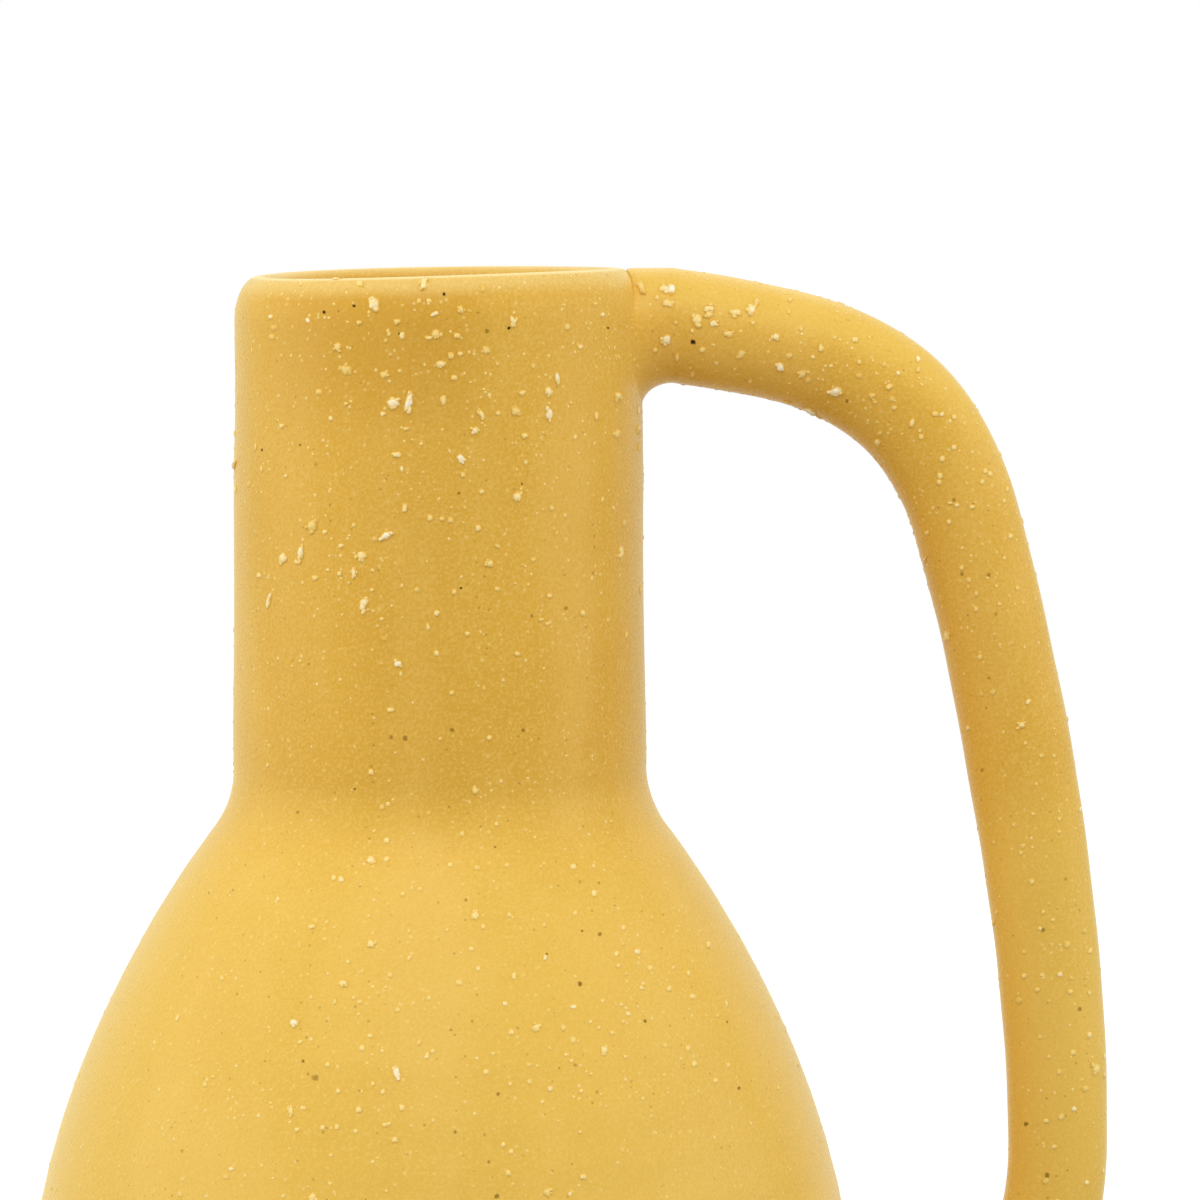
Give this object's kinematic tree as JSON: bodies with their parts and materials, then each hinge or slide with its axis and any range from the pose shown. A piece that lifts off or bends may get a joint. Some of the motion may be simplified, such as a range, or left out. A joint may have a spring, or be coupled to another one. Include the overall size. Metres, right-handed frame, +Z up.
{
  "type": "handled vase",
  "caption": "Stoneware vase with an egg-shaped belly, a straight open neck and a thick round side handle, in mustard glaze.",
  "frame": {"origin": "middle of the flat underside of the base slab, on the vessel's axis", "axes": "+Z up along the vessel's axis, +X from the axis towards the handle, which lies in the XZ plane"},
  "size_m": [0.1952, 0.149, 0.2608],
  "materials": {
    "mustard_glaze": "satin mustard-yellow glaze over coarse grog, with pale raised grains and fine dark pits",
    "bare_clay": "unglazed fired buff stoneware with grog",
    "clay_slip": "fired joining slip"
  },
  "bodies": {
    "root": {"base_slab": "bare_clay", "base_slip": "clay_slip", "belly": "mustard_glaze", "shoulder_slip": "clay_slip", "neck": "mustard_glaze", "upper_handle_wad": "mustard_glaze", "handle": "mustard_glaze", "lower_handle_wad": "mustard_glaze"}
  },
  "joints": []
}
